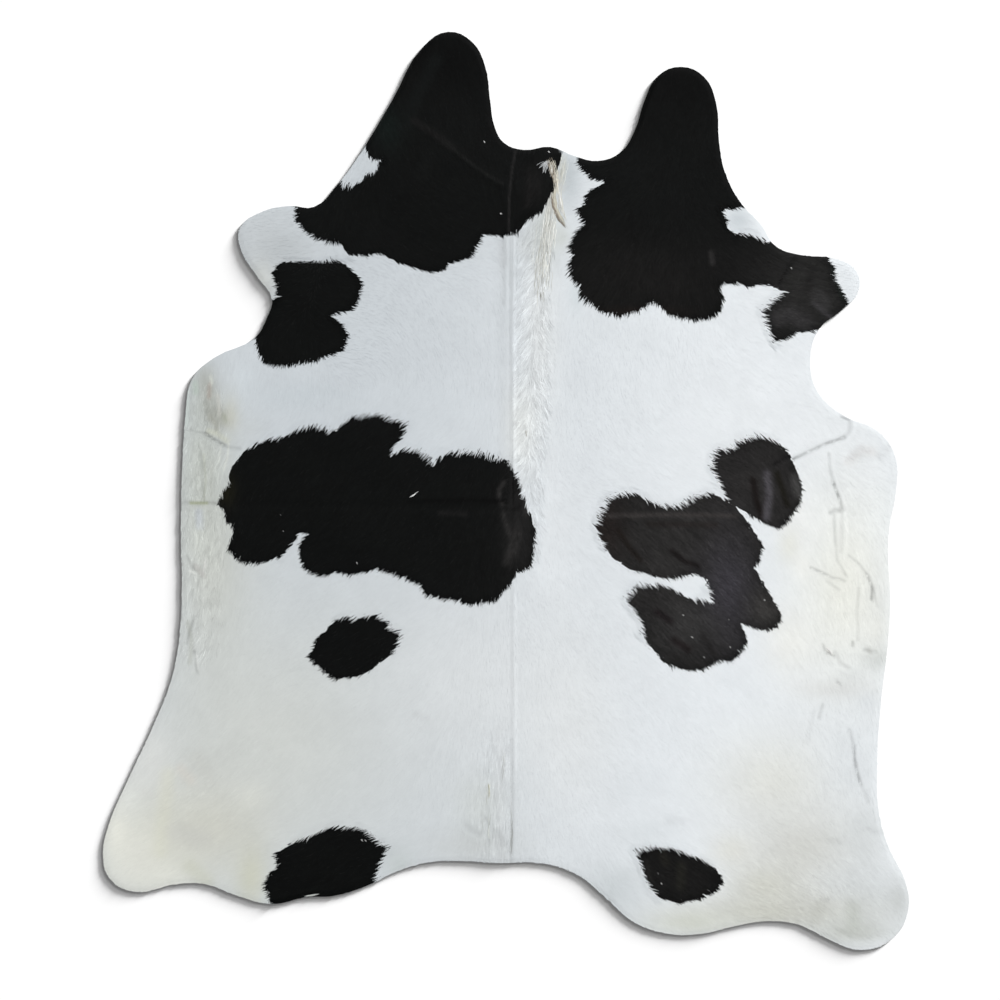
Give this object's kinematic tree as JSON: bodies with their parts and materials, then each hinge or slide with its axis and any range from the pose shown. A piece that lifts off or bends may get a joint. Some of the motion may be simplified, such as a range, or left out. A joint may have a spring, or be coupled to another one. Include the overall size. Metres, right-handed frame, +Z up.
{
  "type": "cowhide rug",
  "caption": "Flat rug of one whole cow's hide with the hair on, white with black patches, with the natural outline of neck, shanks and belly.",
  "frame": {"origin": "middle of the hide's bounding box on the floor it lies on", "axes": "+Y along the back towards the neck, +Z up out of the hair side, +X to the right as seen from above with the neck at the top"},
  "size_m": [1.87, 2.13, 0.0093],
  "materials": {
    "coat": "matte short hair, black patches on white, plain suede underside"
  },
  "bodies": {
    "root": {"hide": "coat"}
  },
  "joints": []
}
